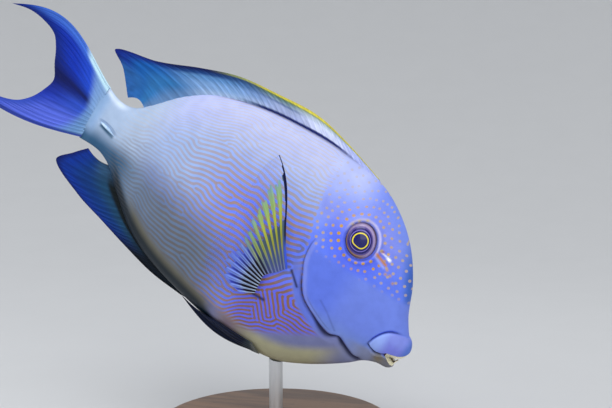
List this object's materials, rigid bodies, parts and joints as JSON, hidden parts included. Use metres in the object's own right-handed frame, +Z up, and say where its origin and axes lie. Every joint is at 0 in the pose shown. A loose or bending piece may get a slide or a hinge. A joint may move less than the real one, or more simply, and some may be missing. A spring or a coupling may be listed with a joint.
{
  "type": "bristletooth surgeonfish on a display stand",
  "caption": "Still life-size bristletooth surgeonfish swimming head down, with folded dorsal and anal fins and spread pectoral fins, held on a short rod over a round base.",
  "frame": {"origin": "centre of the stand base's underside", "axes": "+Z up, +X towards the fish's head, -Y the side of its right flank"},
  "size_m": [0.1718, 0.086, 0.1611],
  "materials": {
    "skin": "satin blue skin with fine tan lines",
    "dark_fin": "satin dark navy fin",
    "blue_fin": "satin blue fin",
    "clear_fin": "thin blue membrane with yellow rays",
    "eye": "glossy dark eye with a yellow ring",
    "spine": "pale blue horn",
    "base": "dark oiled hardwood",
    "rod": "brushed"
  },
  "bodies": {
    "root": {"head": "skin", "lower_jaw": "skin", "torso": "skin", "tail_stalk": "skin", "dorsal_fin": "dark_fin", "anal_fin": "dark_fin", "caudal_fin_upper": "blue_fin", "caudal_fin_lower": "blue_fin", "pectoral_fin_right": "clear_fin", "pectoral_fin_left": "clear_fin", "pelvic_fin_right": "dark_fin", "pelvic_fin_left": "dark_fin", "eye_right": "eye", "eye_left": "eye", "tail_spine_right": "spine", "tail_spine_left": "spine", "stand_base": "base", "stand_rod": "rod"}
  },
  "joints": []
}
